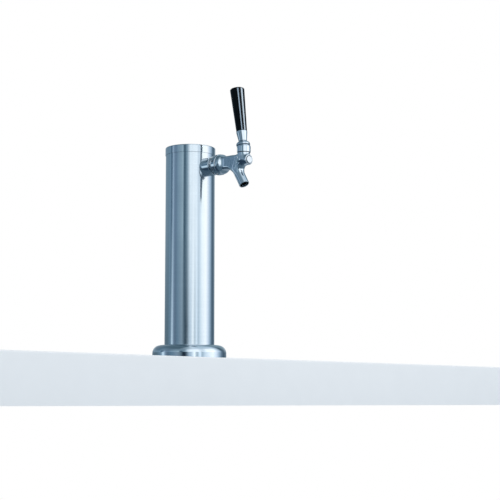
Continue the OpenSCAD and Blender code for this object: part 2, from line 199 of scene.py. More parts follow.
def cut(piece, *cutters):
    """Subtracts the cutters from the piece and removes them."""
    for cutter in cutters:
        step = piece.modifiers.new("cut", "BOOLEAN")
        step.operation, step.solver, step.object = "DIFFERENCE", "EXACT", cutter
    bpy.context.view_layer.objects.active = piece
    for step in list(piece.modifiers):
        bpy.ops.object.modifier_apply(modifier=step.name)
    for cutter in cutters:
        bpy.data.objects.remove(cutter)
    return piece


def true_normals(piece, *radii):
    """Sets the normals of an upright turned piece again after a cut: straight out or in on the round
    walls of these radii, straight up or down on the level faces."""
    mesh = piece.data
    normals = [corner.vector.copy() for corner in mesh.corner_normals]
    for face in mesh.polygons:
        spots = [mesh.vertices[v].co for v in face.vertices]
        level = abs(face.normal.z) > 0.999
        round_wall = any(all(abs(spot.xy.length / MM - r) < 0.02 for spot in spots) for r in radii)
        for corner, spot in zip(face.loop_indices, spots):
            if level:
                normals[corner] = face.normal
            elif round_wall:
                out = Vector((spot.x, spot.y, 0)).normalized()
                normals[corner] = out if out.dot(face.normal) > 0 else -out
    mesh.normals_split_custom_set(normals)
    return piece


def drill(r, z0, z1, place, steps=64):
    """A plain bar that cuts a round hole."""
    return lathe("drill", outline((0, z0), (r, z0), (r, z1), (0, z1)), place, steps)


# ---- cast and milled pieces: a distance function, meshed where it is zero --------------------

def soft_min(a, b, blend):
    """The smaller of two distances, rounded over where they differ by less than the blend."""
    near = np.maximum(blend - np.abs(a - b), 0) / blend
    return np.minimum(a, b) - near ** 3 * blend / 6


def soft_max(a, b, blend):
    """The larger of two distances, rounded over in the same way."""
    return -soft_min(-a, -b, blend)


def rounded_box(a, b, edge):
    """The distance to a rounded corner, from the distances past its two sides."""
    a, b = a + edge, b + edge
    return np.minimum(np.maximum(a, b), 0) + np.hypot(np.maximum(a, 0), np.maximum(b, 0)) - edge


def bar(off_axis, along, r, start, stop, edge=0.4):
    """A round bar with rounded ends."""
    past_end = np.maximum(start - along, along - stop)
    return rounded_box(off_axis - r, past_end, edge)


def slope(distance, points):
    """How fast the distance grows along each axis at these points."""
    step = 0.02
    parts = []
    for axis in range(3):
        shift = np.zeros(3)
        shift[axis] = step
        parts.append(distance(*(points + shift).T) - distance(*(points - shift).T))
    return np.stack(parts, 1) / (2 * step)


def skin(name, distance, lo, hi, cell, place):
    """Meshes the surface where distance(x, y, z) is zero, with one vertex in each cell it crosses."""
    axes = [np.arange(a - 2.5 * cell, b + 2.5 * cell, cell) for a, b in zip(lo, hi)]
    grid = distance(*np.meshgrid(*axes, indexing="ij", sparse=True))
    inside = grid < 0
    corners = [(i, j, k) for i in (0, 1) for j in (0, 1) for k in (0, 1)]
    size = np.array(grid.shape) - 1
    filled = sum(inside[i:size[0] + i, j:size[1] + j, k:size[2] + k].astype(np.int8)
                 for i, j, k in corners)
    cells = np.argwhere((filled > 0) & (filled < 8))
    total, hits = np.zeros((len(cells), 3)), np.zeros(len(cells))
    for axis in range(3):
        step = np.eye(3, dtype=int)[axis]
        for corner in (np.array(c) for c in corners if not c[axis]):
            a, b = grid[tuple((cells + corner).T)], grid[tuple((cells + corner + step).T)]
            crossed = (a < 0) != (b < 0)
            share = np.where(crossed, a / np.where(crossed, a - b, 1), 0)
            total += (cells + corner + share[:, None] * step) * crossed[:, None]
            hits += crossed
    start = np.array([a[0] for a in axes])
    points = start + cell * total / hits[:, None]
    for _ in range(3):
        uphill = slope(distance, points)
        steep = np.maximum((uphill ** 2).sum(1), 0.05)
        points -= uphill * (np.clip(distance(*points.T), -cell, cell) / steep)[:, None]
    number = np.full(size, -1)
    number[tuple(cells.T)] = np.arange(len(cells))
    faces = []
    for axis in range(3):
        b, c = (axis + 1) % 3, (axis + 2) % 3
        step = np.eye(3, dtype=int)
        low = np.moveaxis(inside, axis, 0)[:-1]
        high = np.moveaxis(inside, axis, 0)[1:]
        edges = np.argwhere(low != high)
        order = [axis] + [k for k in range(3) if k != axis]
        edge = np.empty_like(edges)
        edge[:, order] = edges
        edge = edge[(edge[:, b] > 0) & (edge[:, c] > 0) & (edge[:, b] < size[b])
                    & (edge[:, c] < size[c])]
        ring = np.stack([number[tuple((edge - db * step[b] - dc * step[c]).T)]
                         for db, dc in ((1, 1), (0, 1), (0, 0), (1, 0))], 1)
        flip = ~inside[tuple(edge.T)]
        ring[flip] = ring[flip][:, ::-1]
        faces.append(ring)
    uphill = slope(distance, points)
    uphill /= np.linalg.norm(uphill, axis=1)[:, None]
    return mesh_piece(name, points, np.concatenate(faces).tolist(), vertex_normals=uphill,
                      place=place)


# ---- column, cap and foot --------------------------------------------------------------------

SHANK_HOLE_R = 11.4
TUBE_EDGE = 0.25


def column_tube():
    z0, z1 = TUBE_LO[2], TUBE_HI[2]
    tube = lathe("tower_column", outline(
        (TUBE_IN_R, z0, TUBE_EDGE), (COLUMN_R, z0, TUBE_EDGE),
        (COLUMN_R, z1, TUBE_EDGE), (TUBE_IN_R, z1, TUBE_EDGE)), steps=256)
    cut(tube, drill(SHANK_HOLE_R, 0, COLUMN_R + 5, FORWARD))
    return true_normals(tube, COLUMN_R, TUBE_IN_R)


def column_cap():
    """The cap's skirt over the tube, and its spigot with the groove for the seal."""
    top, skirt_z, seat_z = CAP_HI[2], CAP_LO[2], TUBE_HI[2]
    cap_r, skirt_in_r = CAP_HI[0], COLUMN_R + 0.1
    spigot_r, spigot_in_r, groove_r = TUBE_IN_R - 1.6, TUBE_IN_R - 3.6, TUBE_IN_R - 2.5
    groove_z = sum(extent("cap_seal")[i][2] for i in (0, 1)) / 2
    return lathe("cap_shell", outline(
        (0, seat_z), (spigot_in_r, seat_z, 0.4), (spigot_in_r, skirt_z, 0.2),
        (spigot_r, skirt_z, 0.3), (spigot_r, groove_z - 0.8), (groove_r, groove_z - 0.8, 0.2),
        (groove_r, groove_z + 0.8, 0.2), (spigot_r, groove_z + 0.8), (spigot_r, seat_z),
        (skirt_in_r, seat_z), (skirt_in_r, skirt_z, 0.15), (cap_r, skirt_z, 0.3),
        (cap_r, top, 1.4), (0, top)), steps=256)


def flange_cover():
    """A spun dome, with a lip turned down against the column."""
    r, top, wall, shoulder = COVER_HI[0], COVER_HI[2], 1.5, 12
    bore_r, lip_z = COLUMN_R + 0.4, COVER_HI[2] - 3
    return lathe("flange_dome", outline(
        (r, 0, 0.5), (r, top, shoulder), (bore_r, top, 0.9), (bore_r, lip_z, 0.3),
        (bore_r + 1.2, lip_z, 0.2), (bore_r + 1.2, top - wall, 0.3),
        (r - wall, top - wall, shoulder - wall), (r - wall, 0, 0.3)), steps=256)


def base_plate():
    """The foot plate with the collar that holds the column, and its four screw holes."""
    r, z0, top = PLATE_HI[0], PLATE_LO[2], PLATE_HI[2]
    face_z, opening_r, collar_r = TUBE_LO[2], 35, 40.3
    bolts = next(m for m in frame["record"]["mounts"] if m["kind"] == "bolt_pattern")["dims"]
    plate = lathe("foot_plate", outline(
        (opening_r, z0, 0.3), (r, z0, 0.3), (r, face_z, 0.5), (collar_r, face_z, 0.8),
        (collar_r, top, 0.5), (COLUMN_R + 0.05, top, 0.3), (COLUMN_R + 0.05, face_z),
        (opening_r, face_z, 0.4)), steps=192)
    drills = []
    for i in range(bolts["count"]):
        a = math.radians(45 + 360 * i / bolts["count"])
        centre = bolts["pcd_mm"] / 2 * np.array([math.cos(a), math.sin(a), 0])
        hole = drill(bolts["hole_r_mm"], 0, top, (centre, np.eye(3)))
        drills.append(hole)
    return true_normals(cut(plate, *drills), r, collar_r, COLUMN_R + 0.05, opening_r)


# ---- shank, collar and nut -------------------------------------------------------------------

SHANK_S0, SHANK_S1 = reach("shank")
SHANK_HEAD_S, SHANK_R, SHANK_HEAD_R, BEER_BORE_R = 62.6, 11.1, SHANK_HI[0], 3.2
THREAD_PITCH, THREAD_DEPTH = 1.81, 0.95


def shank():
    """The threaded tube, its head and its beer bore."""
    steps, rows_per_turn, fade = 96, 8, 1.5
    angles = np.linspace(0, 2 * math.pi, steps, endpoint=False)
    thread_s = np.arange(SHANK_S0, SHANK_HEAD_S - 0.6, THREAD_PITCH / rows_per_turn)
    rows = [(BEER_BORE_R, SHANK_S1), (BEER_BORE_R, SHANK_S0)]
    rows = [(np.full(steps, r), s) for r, s in rows]
    for s in thread_s:
        phase = (s / THREAD_PITCH - angles / (2 * math.pi)) % 1
        ridge = 1 - np.abs(2 * phase - 1)
        depth = THREAD_DEPTH * (1 - np.clip(1.5 * ridge - 0.15, 0, 1))
        taper = max(0, 1 - (s - SHANK_S0) / fade)
        rows.append((SHANK_R - np.maximum(depth, THREAD_DEPTH * taper), s))
    for r, s in ((SHANK_R, SHANK_HEAD_S - 0.4), (SHANK_R, SHANK_HEAD_S),
                 (SHANK_HEAD_R - 0.3, SHANK_HEAD_S), (SHANK_HEAD_R, SHANK_HEAD_S + 0.3),
                 (SHANK_HEAD_R, SHANK_S1 - 0.3), (SHANK_HEAD_R - 0.3, SHANK_S1)):
        rows.append((np.full(steps, r), s))
    verts = [[r * math.cos(a), r * math.sin(a), s] for radii, s in rows
             for r, a in zip(radii, angles)]
    faces = []
    for k in range(len(rows)):
        this, following = k * steps, (k + 1) % len(rows) * steps
        for j in range(steps):
            i = (j + 1) % steps
            faces.append((this + j, this + i, following + i, following + j))
    piece = mesh_piece("shank_tube", verts, faces, place=FORWARD)
    piece.data.set_sharp_from_angle(angle=math.radians(50))
    return piece


def shank_collar():
    """The spacer, its back cut to the column's curve."""
    r, front = COLLAR_HI[0], -COLLAR_LO[1]

    def distance(s, w, h):
        off = np.hypot(w, h)
        body = bar(off, s, r, 0, front, 0.8)
        body = soft_max(body, COLUMN_R + 0.05 - np.hypot(s, w), 0.3)
        return soft_max(body, SHANK_HOLE_R - off, 0.5)

    return skin("collar_spacer", distance, (33, -r, -r), (front, r, r), 0.42, FAUCET)


NUT_S0, NUT_S1 = reach("coupling_nut")
TAIL_R = 14.25
SPANNER_R, SPANNER_DEPTH, SPANNER_COUNT, SPANNER_TURN = 2.2, 3.8, 8, 30


def coupling_nut():
    """The round nut, with its ring of spanner holes."""
    middle = (NUT_S0 + NUT_S1) / 2

    def distance(s, w, h):
        off = np.hypot(w, h)
        body = soft_max(bar(off, s, NUT_R, NUT_S0, NUT_S1, 1.2), SHANK_HOLE_R - off, 0.4)
        body = soft_max(body, np.minimum(TAIL_R + 0.05 - off, -(s - SHANK_HEAD_S)), 0.4)
        for i in range(SPANNER_COUNT):
            a = math.radians(SPANNER_TURN + i * 360 / SPANNER_COUNT)
            out = h * math.cos(a) - w * math.sin(a)
            side = h * math.sin(a) + w * math.cos(a)
            hole = np.maximum(np.hypot(s - middle, side) - SPANNER_R, NUT_R - SPANNER_DEPTH - out)
            body = soft_max(body, -hole, blend=0.35)
        return body

    return skin("nut_ring", distance, (NUT_S0, -NUT_R, -NUT_R), (NUT_S1, NUT_R, NUT_R), 0.36,
                FAUCET)


# ---- faucet body -----------------------------------------------------------------------------

BODY_S0, BODY_S1 = reach("faucet_body")
SPOUT_R, OUTLET_R, OUTLET_LEN = 7.7, SPOUT["dims"]["r_mm"], SPOUT["dims"]["length_mm"]
SPOUT_ROOT_S, SPOUT_LEN = 95.4, 42.4
BARREL_HALF_H, SIDE_HALF_W, SIDE_EDGE = 9.65, 8.5, 4.2
WEB_BACK, WEB_FRONT, WEB_TOP, WEB_TIP, WEB_TAPER, WEB_SWEEP = 7.1, 1.5, 4, 31, 0.36, 14
BAND_FRONT, BAND_LEAN, FILLET_R, FILLET_EDGE = 108.4, 0.38, 6, 7
BOSS_R, BOSS_H, BOSS_FOOT, BOSS_EDGE, NECK_R, NECK_H = 9.3, 12, 4, 6.0, 8.6, 18
NOSE_R, NOSE_BORE_R, NOSE_BORE_LEN, VALVE_R = 7.8, 5.5, 3.5, 5
NOSE_RIM_STEP, NOSE_RIM_LEN, NOSE_WALL = 0.75, 0.9, 3
SHOULDER_S0, SHOULDER_S1, SHOULDER_R, SHOULDER_EDGE = NUT_S1 + 0.7, 76.8, 15.1, 6.6
THROAT_R, THROAT_END_S, LEVER_HOLE_R, BALL_SEAT_R, BALL_SEAT_H = 7.5, 83, 4.9, 7, 9
PAST_END = 3  # how far a hole's cutter runs past the end that it opens


def faucet_body():
    """The casting: a domed shoulder, a flat-sided barrel and web, the boss, nose and spout."""
    lean, fall = SPOUT_DIR
    fillet_h = -NOSE_R - FILLET_R
    fillet_s = SPOUT_ROOT_S + (fillet_h * lean - SPOUT_R - FILLET_R) / fall
    fillet_down = (fillet_s - SPOUT_ROOT_S) * lean + fillet_h * fall

    def outside(s, w, h):
        off, off_boss = np.hypot(w, h), np.hypot(s - PIVOT_S, w)
        down = (s - SPOUT_ROOT_S) * lean + h * fall
        ahead = (s - SPOUT_ROOT_S) * -fall + h * lean
        off_spout = np.hypot(ahead, w)
        band_front = (s - BAND_FRONT - BAND_LEAN * h) / math.hypot(1, BAND_LEAN)
        band = soft_max(np.abs(h) - BARREL_HALF_H, band_front, blend=5.0)
        band = np.maximum(band, SHOULDER_S0 - s)
        behind = soft_max(-ahead - WEB_BACK, WEB_TAPER * (down - WEB_TIP) - ahead, blend=3.0)
        leg = soft_max(behind, h - WEB_TOP, blend=6.0)
        leg = soft_max(leg, ahead - WEB_FRONT, blend=6.0)
        side = soft_min(leg, band, WEB_SWEEP)
        web = rounded_box(side, np.abs(w) - SIDE_HALF_W, SIDE_EDGE)
        corner = soft_max(np.maximum(s - fillet_s, down - fillet_down),
                          FILLET_R - np.hypot(s - fillet_s, h - fillet_h), blend=3.0)
        corner = np.maximum(corner, np.maximum(-ahead, h))
        fillet_fill = rounded_box(corner, np.abs(w) - SPOUT_R, FILLET_EDGE)
        spout = bar(off_spout, down, SPOUT_R, 4, SPOUT_LEN, edge=0.45)
        boss = rounded_box(off_boss - BOSS_R, -BOSS_FOOT - h, BOSS_EDGE)
        boss = soft_max(boss, h - BOSS_H, blend=1.0)
        neck = bar(off_boss, h, NECK_R, 0, NECK_H)
        nose = bar(off, s, NOSE_R, SPOUT_ROOT_S, BODY_S1, edge=1.0)
        dome = bar(off, s, SHOULDER_R, SHOULDER_S0 - 20, SHOULDER_S1, SHOULDER_EDGE)
        shoulder = np.maximum(dome, SHOULDER_S0 - s)
        solid = soft_min(np.minimum(spout, nose), fillet_fill, blend=2.5)
        solid = soft_min(solid, web, blend=1.4)
        solid = soft_min(solid, boss, blend=5.5)
        solid = soft_min(solid, shoulder, blend=7.0)
        solid = np.minimum(solid, neck)
        return np.minimum(solid, bar(off, s, TAIL_R, BODY_S0, SHOULDER_S0 + 1, edge=0.5))

    def holes(s, w, h):
        off, off_boss = np.hypot(w, h), np.hypot(s - PIVOT_S, w)
        down = (s - SPOUT_ROOT_S) * lean + h * fall
        off_spout = np.hypot((s - SPOUT_ROOT_S) * -fall + h * lean, w)
        nose_end, spout_end = BODY_S1 + PAST_END, SPOUT_LEN + PAST_END
        rim_r = NOSE_BORE_R + NOSE_RIM_STEP
        found = bar(off, s, THROAT_R, BODY_S0 - PAST_END, THROAT_END_S)
        for hole in (bar(off, s, VALVE_R, BODY_S0, BODY_S1 - NOSE_WALL),
                     bar(off, s, NOSE_BORE_R, BODY_S1 - NOSE_BORE_LEN, nose_end),
                     bar(off, s, rim_r, BODY_S1 - NOSE_RIM_LEN, nose_end),
                     bar(off_boss, h, LEVER_HOLE_R, 0, NECK_H),
                     bar(off_boss, h, BALL_SEAT_R, BALL_SEAT_H, NECK_H + PAST_END),
                     bar(off_spout, down, VALVE_R, 0, SPOUT_LEN),
                     bar(off_spout, down, OUTLET_R, SPOUT_LEN - OUTLET_LEN, spout_end)):
            found = np.minimum(found, hole)
        return found

    def distance(s, w, h):
        return soft_max(outside(s, w, h), -holes(s, w, h), blend=0.4)

    low, high = extent("faucet_body")
    return skin("faucet_casting", distance, (BODY_S0, low[0], low[2] - FAUCET_Z),
                (BODY_S1, high[0], high[2] - FAUCET_Z), 0.45, FAUCET)


def nose_plug():
    s0, s1 = reach("nose_cap")
    return lathe("nose_plug", outline(
        (0, s0), (NOSE_BORE_R - 0.05, s0, 0.2), (NOSE_BORE_R - 0.05, BODY_S1),
        (NOSE_BORE_R + 0.2, BODY_S1), (NOSE_BORE_R + 0.2, s1, 1.0), (0, s1)), FORWARD, 128)


# ---- bonnet, lever and handle ----------------------------------------------------------------

BONNET_DOME_R, BONNET_HOLE_R, BONNET_THREAD_LEN = 12.15, 6.6, 4.7
BONNET_SPANNER_TURN, BONNET_SPANNER_DEPTH = 32, 1.2
BALL_R, LEVER_NECK_R, LEVER_THREAD_R = 5.5, 2.8, 4.76
LEVER_BORE_R = LEVER_THREAD_R + 0.05


def bonnet():
    """The ring nut that holds the lever's ball: a low dome with a hole for the lever to rock in."""
    low, high = BONNET_LO[2] - PIVOT[2], BONNET_HI[2] - PIVOT[2]
    seat = high - BONNET_THREAD_LEN
    middle = (low + math.sqrt(BONNET_DOME_R ** 2 - BONNET_R ** 2)) / 2

    def distance(x, y, z):
        off = np.hypot(x, y)
        body = bar(off, z, BONNET_R, low, 30, 0.5)
        body = soft_max(body, np.hypot(off, z) - BONNET_DOME_R, 0.9)
        body = soft_max(body, np.minimum(NECK_R + 0.05 - off, seat - z), 0.3)
        body = soft_max(body, BONNET_HOLE_R - off, 0.5)
        for turn in (BONNET_SPANNER_TURN, BONNET_SPANNER_TURN + 180):
            a = math.radians(turn)
            out = -y * math.cos(a) + x * math.sin(a)
            side = np.hypot(x * math.cos(a) + y * math.sin(a), z - middle)
            hole = np.maximum(side - SPANNER_R, BONNET_R - BONNET_SPANNER_DEPTH - out)
            body = soft_max(body, -hole, blend=0.35)
        return body

    return skin("bonnet_dome", distance, (-BONNET_R, -BONNET_R, low), (BONNET_R, BONNET_R, high),
                0.3, AT_PIVOT)


def lever():
    """The ball, the finger under it and the neck and thread above it."""
    finger_r, tip_r, root_r, root_z, tip_z = 1.4, 2.5, 2.1, -7.5, -15
    tip_turn = math.degrees(math.acos(finger_r / tip_r))
    ball_low = -math.degrees(math.acos(root_r / BALL_R))
    ball_high = math.degrees(math.acos(LEVER_NECK_R / BALL_R))
    return lathe("lever_rod", outline(
        arc((0, tip_z), tip_r, -90, tip_turn), (finger_r, root_z, 0.2), (root_r, root_z, 0.3),
        arc((0, 0), BALL_R, ball_low, ball_high), (LEVER_NECK_R, 12.2, 0.5),
        (LEVER_THREAD_R, 12.2, 0.4), (LEVER_THREAD_R, 24, 0.5), (0, 24)), LEVER, 96)


def lever_collar():
    """The flared skirt that hides the bonnet's hole at every angle of the lever."""
    ball, r, rim_r, top = 12.5, 10.5, 9.8, 14.3
    bore_turn = math.degrees(math.acos(LEVER_BORE_R / ball))
    rim_turn = math.degrees(math.acos(rim_r / ball))
    rim_z = ball * math.sin(math.radians(rim_turn))
    return lathe("lever_skirt", outline(
        (r, rim_z + 0.8, 0.25), (r - 0.1, 10.6, 2.2), (8.2, 13.2, 2.0), (6.4, top, 0.5),
        (LEVER_BORE_R, top), arc((0, 0), ball, bore_turn, rim_turn)), LEVER, 128)


def handle_ferrule():
    z0, neck_z, z1, bottom_r, top_r = 14.6, 28.2, 30, 6.2, 8.3
    return lathe("ferrule_sleeve", outline(
        (LEVER_BORE_R, z0), (bottom_r, z0, 0.5), (top_r, neck_z, 3), (top_r, z1, 0.5),
        (LEVER_BORE_R, z1)), LEVER, 128)


def grip():
    """The tapered black grip with its slightly crowned top."""
    z0, z1, bottom_r, top_r, stud_z = 30, 98.9, 8.1, 11, 46
    crown_r, crown = 8.6, 1.2
    crown_ball = (crown_r ** 2 + crown ** 2) / (2 * crown)
    crown_turn = 90 - math.degrees(math.asin(crown_r / crown_ball))
    return lathe("grip_shell", outline(
        (0, stud_z), (LEVER_BORE_R, stud_z), (LEVER_BORE_R, z0), (bottom_r, z0, 0.6),
        (top_r - 0.05, z1 - 1.9, 2.2), arc((0, z1 - crown_ball), crown_ball, crown_turn, 90)),
        LEVER, 128)


# ---- materials -------------------------------------------------------------------------------

def linear(r, g, b):
    """A colour given as it looks on screen, from 0 to 255, as linear light."""
    return tuple((c / 255 / 12.92) if c <= 10.3 else ((c / 255 + 0.055) / 1.055) ** 2.4
                 for c in (r, g, b))


class Shader:
    """A node tree being built: add() makes a node, and its inputs are values or other outputs."""

    def __init__(self, tree):
        self.tree = tree
        tree.nodes.clear()

    def add(self, kind, output=0, settings=None, **inputs):
        made = self.tree.nodes.new("ShaderNode" + kind)
        for key, value in (settings or {}).items():
            setattr(made, key, value)
        for key, value in inputs.items():
            socket = made.inputs[int(key[1:])] if key[1:].isdigit() else made.inputs[
                key.replace("_", " ")]
            if isinstance(value, bpy.types.NodeSocket):
                self.tree.links.new(value, socket)
            else:
                socket.default_value = value
        return made.outputs[output] if made.outputs else made

    def math(self, operation, a, b=0.0, c=0.0):
        return self.add("Math", settings={"operation": operation}, i0=a, i1=b, i2=c)

    def stretch(self, low, high, value, start=0.0, stop=1.0):
        """A value moved from one range to another, and held inside it."""
        return self.add("MapRange", Value=value, From_Min=start, From_Max=stop, To_Min=low,
                        To_Max=high)

    def blend(self, factor, a, b):
        return self.add("Mix", 2, {"data_type": "RGBA"}, i0=factor, i6=a, i7=b)

    def ramp(self, share, tones):
        """A colour for each share of a full turn, from a list of degrees and tones."""
        made = self.add("ValToRGB", Fac=share)
        stops = made.node.color_ramp.elements
        while len(stops) < len(tones):
            stops.new(0.5)
        for stop, (degrees, _) in zip(stops, tones):
            stop.position = (degrees + 180) / 360
        for stop, (_, tone) in zip(stops, tones):
            stop.color = rgba(linear(*tone))
        return made

    def place(self):
        """The point on the piece, in metres in the frame's axes."""
        return self.add("TexCoord", 3)

    def scaled(self, factors):
        return self.add("VectorMath", settings={"operation": "MULTIPLY"}, i0=self.place(),
                        i1=factors)

    def noise(self, factors, detail=2.0, roughness=0.5, distortion=0.0):
        return self.add("TexNoise", Vector=self.scaled(factors), Scale=1.0, Detail=detail,
                        Roughness=roughness, Distortion=distortion)

    def bump(self, height, distance, strength=1.0, under=None):
        inputs = {"Height": height, "Distance": distance, "Strength": strength}
        if under is not None:
            inputs["Normal"] = under
        return self.add("Bump", **inputs)


def new_material(name):
    made = bpy.data.materials.new(name)
    made.use_nodes = True
    return made, Shader(made.node_tree)


def finished(made, shader, **inputs):
    surface = shader.add("BsdfPrincipled", **inputs)
    shader.add("OutputMaterial", Surface=surface)
    return made


def rgba(colour):
    return (*colour, 1.0)


def brushed(name, tint, grain, roughness, anisotropy, bump):
    """Steel with fine lines: grain gives how fast they change along X, Y and Z, per metre."""
    made, sh = new_material(name)
    lines = sh.noise(grain, detail=3.0, roughness=0.6)
    broad = sh.noise(tuple(g / 9 for g in grain), detail=2.0)
    haze = sh.noise((38, 38, 24), detail=3.0)
    tone = sh.math("MULTIPLY_ADD", broad, 0.5, sh.math("MULTIPLY", lines, 0.5))
    dark = rgba(tuple(c * 0.93 for c in tint))
    light = rgba(tuple(min(1, c * 1.05) for c in tint))
    colour = sh.blend(sh.stretch(0.0, 1.0, tone, 0.3, 0.7), dark, light)
    rough = sh.math("ADD", sh.stretch(roughness - 0.04, roughness + 0.05, lines, 0.3, 0.7),
                    sh.stretch(-0.02, 0.04, haze, 0.35, 0.7))
    tangent = sh.add("Tangent", settings={"direction_type": "RADIAL", "axis": "Z"})
    return finished(made, sh, Base_Color=colour, Metallic=1.0, Roughness=rough,
                    Anisotropic=anisotropy, Anisotropic_Rotation=0.25, Tangent=tangent,
                    Normal=sh.bump(lines, bump))


def polished(name, tint, roughness, ripple, turned=None):
    """Chrome: soft waves in its surface, faint smudges, turning marks where it was spun, and painted
    shade in its crevices, gaps and holes, where the surface is also made rougher."""
    made, sh = new_material(name)
    smudge = sh.noise((90, 90, 90), detail=3.0, roughness=0.6)
    waves = sh.noise((160, 160, 160), detail=1.5)
    pores = sh.noise((2600, 2600, 2600), detail=2.0)
    # Painted shade: wherever ambient occlusion finds other surfaces within 3 mm, the colour is darkened towards a
    # dark blue-grey tone and the surface is made rougher.
    open_air = sh.add("AmbientOcclusion", 1, {"samples": 8}, Distance=0.003)
    painted_shade = sh.stretch(1.0, 0.0, open_air, 0.12, 0.5)
    rough = sh.math("ADD", sh.stretch(roughness - 0.01, roughness + 0.04, smudge, 0.45, 0.75),
                    sh.stretch(0.0, 0.02, pores, 0.5, 0.8))
    rough = sh.math("MULTIPLY_ADD", painted_shade, 0.3, rough)
    normal = sh.bump(waves, ripple)
    if turned:
        normal = sh.bump(sh.noise(turned, detail=2.0), 0.000012, under=normal)
    colour = sh.blend(sh.stretch(0.0, 1.0, smudge, 0.3, 0.8), rgba(tint),
                      rgba(tuple(c * 0.93 for c in tint)))
    colour = sh.blend(painted_shade, colour, rgba(PAINTED_CREVICE_SHADE))
    return finished(made, sh, Base_Color=colour, Metallic=1.0, Roughness=rough, Normal=normal)


def gloss_black(name):
    """Moulded phenolic: deep black under a clear gloss, with the faintest orange peel."""
    made, sh = new_material(name)
    peel = sh.noise((210, 210, 90), detail=1.0)
    wipe = sh.noise((40, 40, 12), detail=1.0)
    colour = sh.blend(sh.stretch(0.0, 1.0, wipe, 0.3, 0.75), rgba(linear(2, 3, 5)),
                      rgba(linear(5, 7, 10)))
    rough = sh.stretch(0.08, 0.12, wipe, 0.3, 0.7)
    return finished(made, sh, Base_Color=colour, Roughness=rough, Specular_IOR_Level=0.13,
                    Normal=sh.bump(peel, 0.000002))


def rubber(name):
    made, sh = new_material(name)
    grains = sh.noise((2200, 2200, 2200), detail=4.0)
    dust = sh.noise((140, 140, 140), detail=4.0)
    colour = sh.blend(sh.stretch(0.0, 1.0, dust, 0.4, 0.8), rgba(linear(24, 24, 26)),
                      rgba(linear(58, 58, 60)))
    return finished(made, sh, Base_Color=colour, Roughness=sh.stretch(0.62, 0.85, dust),
                    Normal=sh.bump(grains, 0.00008))


def nylon(name):
    made, sh = new_material(name)
    cloud = sh.noise((160, 160, 160), detail=3.0)
    colour = sh.blend(cloud, rgba(linear(236, 233, 222)), rgba(linear(214, 210, 196)))
    return finished(made, sh, Base_Color=colour, Roughness=sh.stretch(0.38, 0.55, cloud),
                    Subsurface_Weight=0.15, Subsurface_Radius=(0.001, 0.0008, 0.0006),
                    Normal=sh.bump(sh.noise((900, 900, 900), detail=3.0), 0.00003))


def foam(name):
    """Closed-cell foam: small round cells with darker gaps."""
    made, sh = new_material(name)
    cells = sh.add("TexVoronoi", Vector=sh.scaled((1300, 1300, 1300)), Scale=1.0)
    colour = sh.blend(sh.stretch(0.0, 1.0, cells, 0.1, 0.8), rgba(linear(74, 76, 80)),
                      rgba(linear(26, 27, 29)))
    return finished(made, sh, Base_Color=colour, Roughness=0.9,
                    Normal=sh.bump(cells, 0.0003, 0.7))


def brass(name):
    made, sh = new_material(name)
    marks = sh.noise((300, 5200, 300), detail=3.0)
    tarnish = sh.noise((170, 170, 170), detail=5.0, roughness=0.65)
    colour = sh.blend(sh.stretch(0.0, 1.0, tarnish, 0.35, 0.75), rgba(linear(214, 186, 118)),
                      rgba(linear(150, 118, 66)))
    return finished(made, sh, Base_Color=colour, Metallic=1.0,
                    Roughness=sh.stretch(0.22, 0.42, tarnish),
                    Normal=sh.bump(marks, 0.00002))


# The third tone is painted shade: the dark blue-grey that the chrome is darkened to in its crevices, gaps and
# holes.
STEEL, CHROME, PAINTED_CREVICE_SHADE = linear(218, 221, 224), linear(226, 229, 232), linear(28, 36, 46)
MATERIALS = {
    "column_steel": brushed("column_steel", STEEL, (30, 30, 5200), 0.13, 0.75, 0.000001),
    "cap_steel": brushed("cap_steel", STEEL, (30, 30, 4600), 0.13, 0.75, 0.000001),
    "flange_chrome": polished("flange_chrome", CHROME, 0.06, 0.00002, (70, 70, 3600)),
    "faucet_chrome": polished("faucet_chrome", CHROME, 0.06, 0.00005),
    "fitting_chrome": polished("fitting_chrome", CHROME, 0.05, 0.00002),
    "plate_steel": brushed("plate_steel", linear(176, 180, 184), (1800, 160, 900), 0.36, 0.2,
                           0.00002),
    "line_steel": brushed("line_steel", linear(200, 205, 210), (1500, 1500, 40), 0.25, 0.3,
                          0.00001),
    "brass": brass("brass"),
    "black_rubber": rubber("black_rubber"),
    "nylon": nylon("nylon"),
    "foam": foam("foam"),
    "grip_black": gloss_black("grip_black"),
}
NODE_SLOT = {part["node"]: part["material_slot"] for part in frame["record"]["subparts"]}
NODE_BODY = {node: body for body, nodes in frame["record"]["behaviour"]["bodies"].items()
             for node in nodes}


def dress(piece, slot):
    """Gives a piece its only material."""
    piece.data.materials.clear()
    piece.data.materials.append(MATERIALS[slot])


def stand_in(piece, node):
    """The piece takes a CAD node's place, body and finish."""
    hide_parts(node)
    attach(piece, NODE_BODY[node])
    dress(piece, NODE_SLOT[node])
    return piece


PIECES = {
    "column_tube": column_tube,
    "column_cap": column_cap,
    "flange_cover": flange_cover,
    "base_plate": base_plate,
    "shank": shank,
    "shank_collar": shank_collar,
    "coupling_nut": coupling_nut,
    "faucet_body": faucet_body,
    "nose_cap": nose_plug,
    "bonnet": bonnet,
    "lever": lever,
    "lever_collar": lever_collar,
    "handle_ferrule": handle_ferrule,
    "tap_handle": grip,
}
for cad_name, cad_object in frame["nodes"].items():
    dress(cad_object, NODE_SLOT[cad_name])
for cad_name, build in PIECES.items():
    stand_in(build(), cad_name)

# ---- camera ----------------------------------------------------------------------------------

CAMERA_AT = Vector((-1.3495, -1.4341, -0.0627))
CAMERA_YAW, CAMERA_PITCH = math.radians(45.958), math.radians(6.778)
CAMERA_LENS, CAMERA_SENSOR = 92.43, 36


